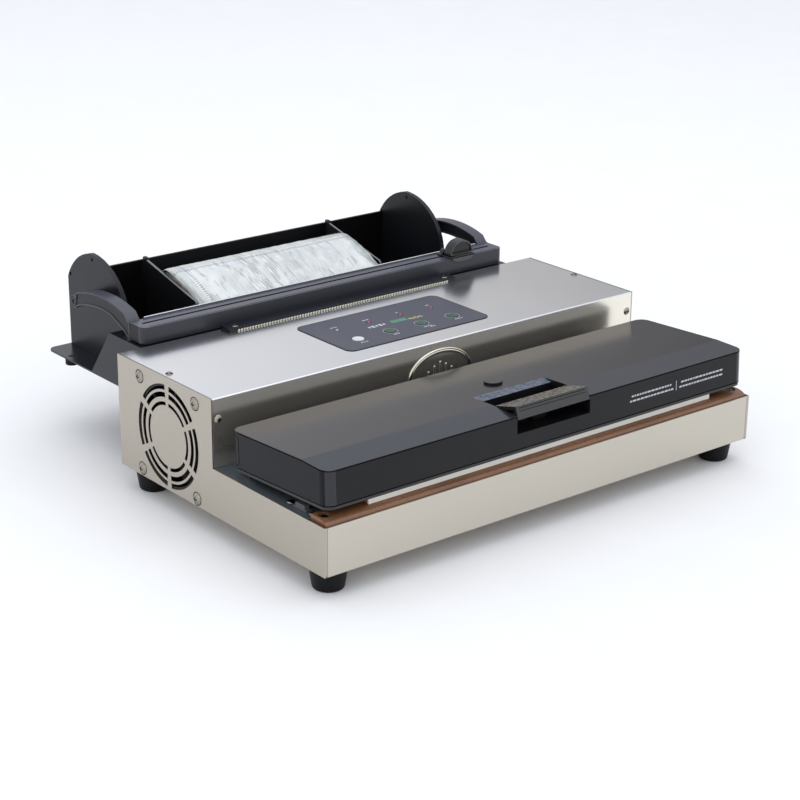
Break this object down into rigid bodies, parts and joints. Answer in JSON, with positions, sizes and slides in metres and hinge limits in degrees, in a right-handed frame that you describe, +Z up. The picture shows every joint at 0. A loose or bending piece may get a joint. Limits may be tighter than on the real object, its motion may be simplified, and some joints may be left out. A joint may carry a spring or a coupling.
{
  "type": "vacuum sealer",
  "caption": "Countertop bag vacuum sealer: stepped steel case, low hinged charcoal lid with a press latch, and a rear bag-roll holder with a swing-up cutter bar.",
  "frame": {"origin": "centre of the bounding box's base, on the plane the feet stand on", "axes": "+X to the right along the front, +Y back from the front panel to the roll holder, +Z up"},
  "size_m": [0.4748, 0.458, 0.1682],
  "materials": {
    "steel_sheet": "brushed along the length, satin",
    "deck_steel": "satin, darker in the lid's shadow",
    "lid_plastic": "fine satin moulded charcoal",
    "latch_plastic": "shiny moulded",
    "black_plastic": "moulded",
    "holder_plastic": "moulded, light satin",
    "holder_metal": "black powder coat, semi-gloss",
    "rail_metal": "dark satin paint",
    "board_brown": "dark brown phenolic, glossy",
    "tape_brown": "slick woven tape",
    "facing_cream": "pale silicone edging",
    "ribbon_metal": "bare",
    "pad_red": "silicone",
    "gasket_black": "closed foam",
    "foot_rubber": "matte",
    "screw_nickel": "nickel-plated",
    "pin_steel": "ground",
    "bracket_steel": "zinc-plated",
    "overlay_film": "slate film with a darker border",
    "button_silver": "glossy",
    "button_green": "green in a pale ring",
    "lamp_red": "translucent lens",
    "circuit_green": "solder mask",
    "copper_coil": "lacquered wire",
    "core_iron": "varnished laminations",
    "hose_clear": "soft clear tube",
    "pump_alloy": "die cast",
    "badge_steel": "embossed oval, satin",
    "pad_white": "pale strip",
    "bag_film": "clear embossed film, wound",
    "blade_steel": "sharp"
  },
  "bodies": {
    "chassis": {"base_pan": "steel_sheet", "side_panel_left": "steel_sheet", "side_panel_right": "steel_sheet", "rear_panel": "steel_sheet", "top_cover": "steel_sheet", "badge": "badge_steel", "deck_plate": "deck_steel", "vacuum_tray": "black_plastic", "lower_gasket": "gasket_black", "seal_board": "board_brown", "seal_bar": "board_brown", "bar_facing": "facing_cream", "heating_ribbon": "ribbon_metal", "sealing_tape": "tape_brown", "lid_switch": "latch_plastic", "latch_keeper": "bracket_steel", "hinge_brackets": "bracket_steel", "pivot_pins": "pin_steel", "control_overlay": "overlay_film", "control_board": "circuit_green", "indicator_lights": "lamp_red", "feet": "foot_rubber", "fan_frame": "black_plastic", "pan_screws": "screw_nickel", "pump_motor": "pump_alloy", "pump_heads": "pump_alloy", "pump_bracket": "bracket_steel", "transformer_core": "core_iron", "transformer_coil": "copper_coil", "vacuum_hose": "hose_clear", "power_inlet": "black_plastic", "switch_frame": "black_plastic", "holder_bracket": "holder_metal", "strip_pad": "pad_white", "roll_sides": "holder_plastic", "roll_trough": "black_plastic", "holder_bumpers": "foot_rubber", "film_web": "bag_film"},
    "lid": {"lid_shell": "lid_plastic", "port_cap": "lid_plastic", "lid_frame": "lid_plastic", "lid_liner": "black_plastic", "pressure_pad": "pad_red", "upper_gasket": "gasket_black", "latch_pin": "pin_steel"},
    "latch": {"latch_handle": "latch_plastic"},
    "first_button": {"button_1": "button_silver"},
    "second_button": {"button_2": "button_green"},
    "third_button": {"button_3": "button_green"},
    "fourth_button": {"button_4": "button_green"},
    "fan": {"fan_rotor": "black_plastic"},
    "pump": {"pump_shaft": "pin_steel"},
    "power_switch": {"switch_rocker": "black_plastic"},
    "cutter_bar": {"cutter_rail": "rail_metal", "cutter_arms": "rail_metal"},
    "cutter": {"cutter_carriage": "black_plastic", "cutter_blade": "blade_steel"},
    "left_divider": {"divider_left": "black_plastic"},
    "right_divider": {"divider_right": "black_plastic"},
    "roll": {"bag_roll": "bag_film"}
  },
  "joints": [
    {"name": "lid_hinge", "type": "hinge", "parent": "chassis", "child": "lid", "pos_m": [0, -0.107, 0.072], "axis": [-1, 0, 0], "range_deg": [-2.7, 45], "stiffness_Nm_per_rad": 2, "springref_deg": 17.19},
    {"name": "latch_press", "type": "hinge", "parent": "lid", "child": "latch", "pos_m": [0, -0.19396, 0.09612], "axis": [1, 0, 0], "range_deg": [0, 8], "stiffness_Nm_per_rad": 0.5, "springref_deg": -2.86},
    {"name": "first_button_press", "type": "slide", "parent": "chassis", "child": "first_button", "axis": [0, 0, -1], "range_m": [0, 0.0005], "stiffness_N_per_m": 400, "springref_m": -0.0004},
    {"name": "second_button_press", "type": "slide", "parent": "chassis", "child": "second_button", "axis": [0, 0, -1], "range_m": [0, 0.0005], "stiffness_N_per_m": 400, "springref_m": -0.0004},
    {"name": "third_button_press", "type": "slide", "parent": "chassis", "child": "third_button", "axis": [0, 0, -1], "range_m": [0, 0.0005], "stiffness_N_per_m": 400, "springref_m": -0.0004},
    {"name": "fourth_button_press", "type": "slide", "parent": "chassis", "child": "fourth_button", "axis": [0, 0, -1], "range_m": [0, 0.0005], "stiffness_N_per_m": 400, "springref_m": -0.0004},
    {"name": "fan_spin", "type": "hinge", "parent": "chassis", "child": "fan", "pos_m": [-0.222, -0.0151, 0.068], "axis": [1, 0, 0], "continuous": true},
    {"name": "pump_spin", "type": "hinge", "parent": "chassis", "child": "pump", "pos_m": [0, -0.014, 0.06], "axis": [1, 0, 0], "continuous": true},
    {"name": "power_switch_tilt", "type": "hinge", "parent": "chassis", "child": "power_switch", "pos_m": [0.1, 0.0574, 0.047], "axis": [1, 0, 0], "range_deg": [-24, 0]},
    {"name": "cutter_bar_hinge", "type": "hinge", "parent": "chassis", "child": "cutter_bar", "pos_m": [0, 0.1825, 0.129], "axis": [-1, 0, 0], "range_deg": [0, 95]},
    {"name": "cutter_slide", "type": "slide", "parent": "cutter_bar", "child": "cutter", "axis": [1, 0, 0], "range_m": [-0.328, 0.022]},
    {"name": "left_divider_slide", "type": "slide", "parent": "chassis", "child": "left_divider", "axis": [-1, 0, 0], "range_m": [0, 0.065]},
    {"name": "right_divider_slide", "type": "slide", "parent": "chassis", "child": "right_divider", "axis": [1, 0, 0], "range_m": [0, 0.065]},
    {"name": "roll_spin", "type": "hinge", "parent": "chassis", "child": "roll", "pos_m": [0, 0.179, 0.1105], "axis": [1, 0, 0], "continuous": true}
  ]
}
